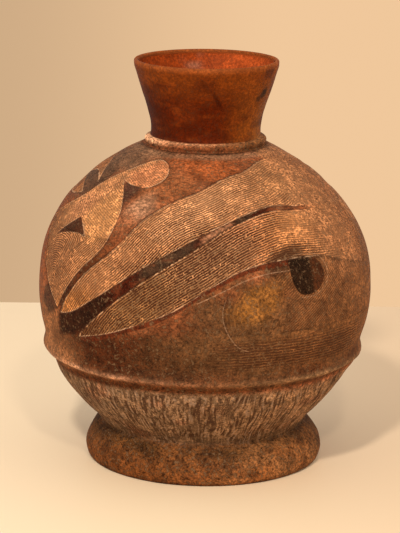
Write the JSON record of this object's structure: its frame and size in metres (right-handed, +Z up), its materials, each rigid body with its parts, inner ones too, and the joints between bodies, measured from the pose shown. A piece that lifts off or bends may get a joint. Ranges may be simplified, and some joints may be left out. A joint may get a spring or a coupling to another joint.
{
  "type": "pottery vase",
  "caption": "Hollow hand-built earthenware jar: globular bowl with cut-back ornament and a low ridge, short flaring neck with a collar, flaring hollow foot.",
  "frame": {"origin": "middle of the footprint at table height", "axes": "+Z up through the mouth, -Y the decorated side that the picture shows, +X to its right"},
  "size_m": [0.2972, 0.2972, 0.36],
  "materials": {
    "fired_clay": "hand-burnished red-brown slip over tan earthenware, worn and sooted, with hatched bands left matt"
  },
  "bodies": {
    "root": {"pottery_vase": "fired_clay"}
  },
  "joints": []
}
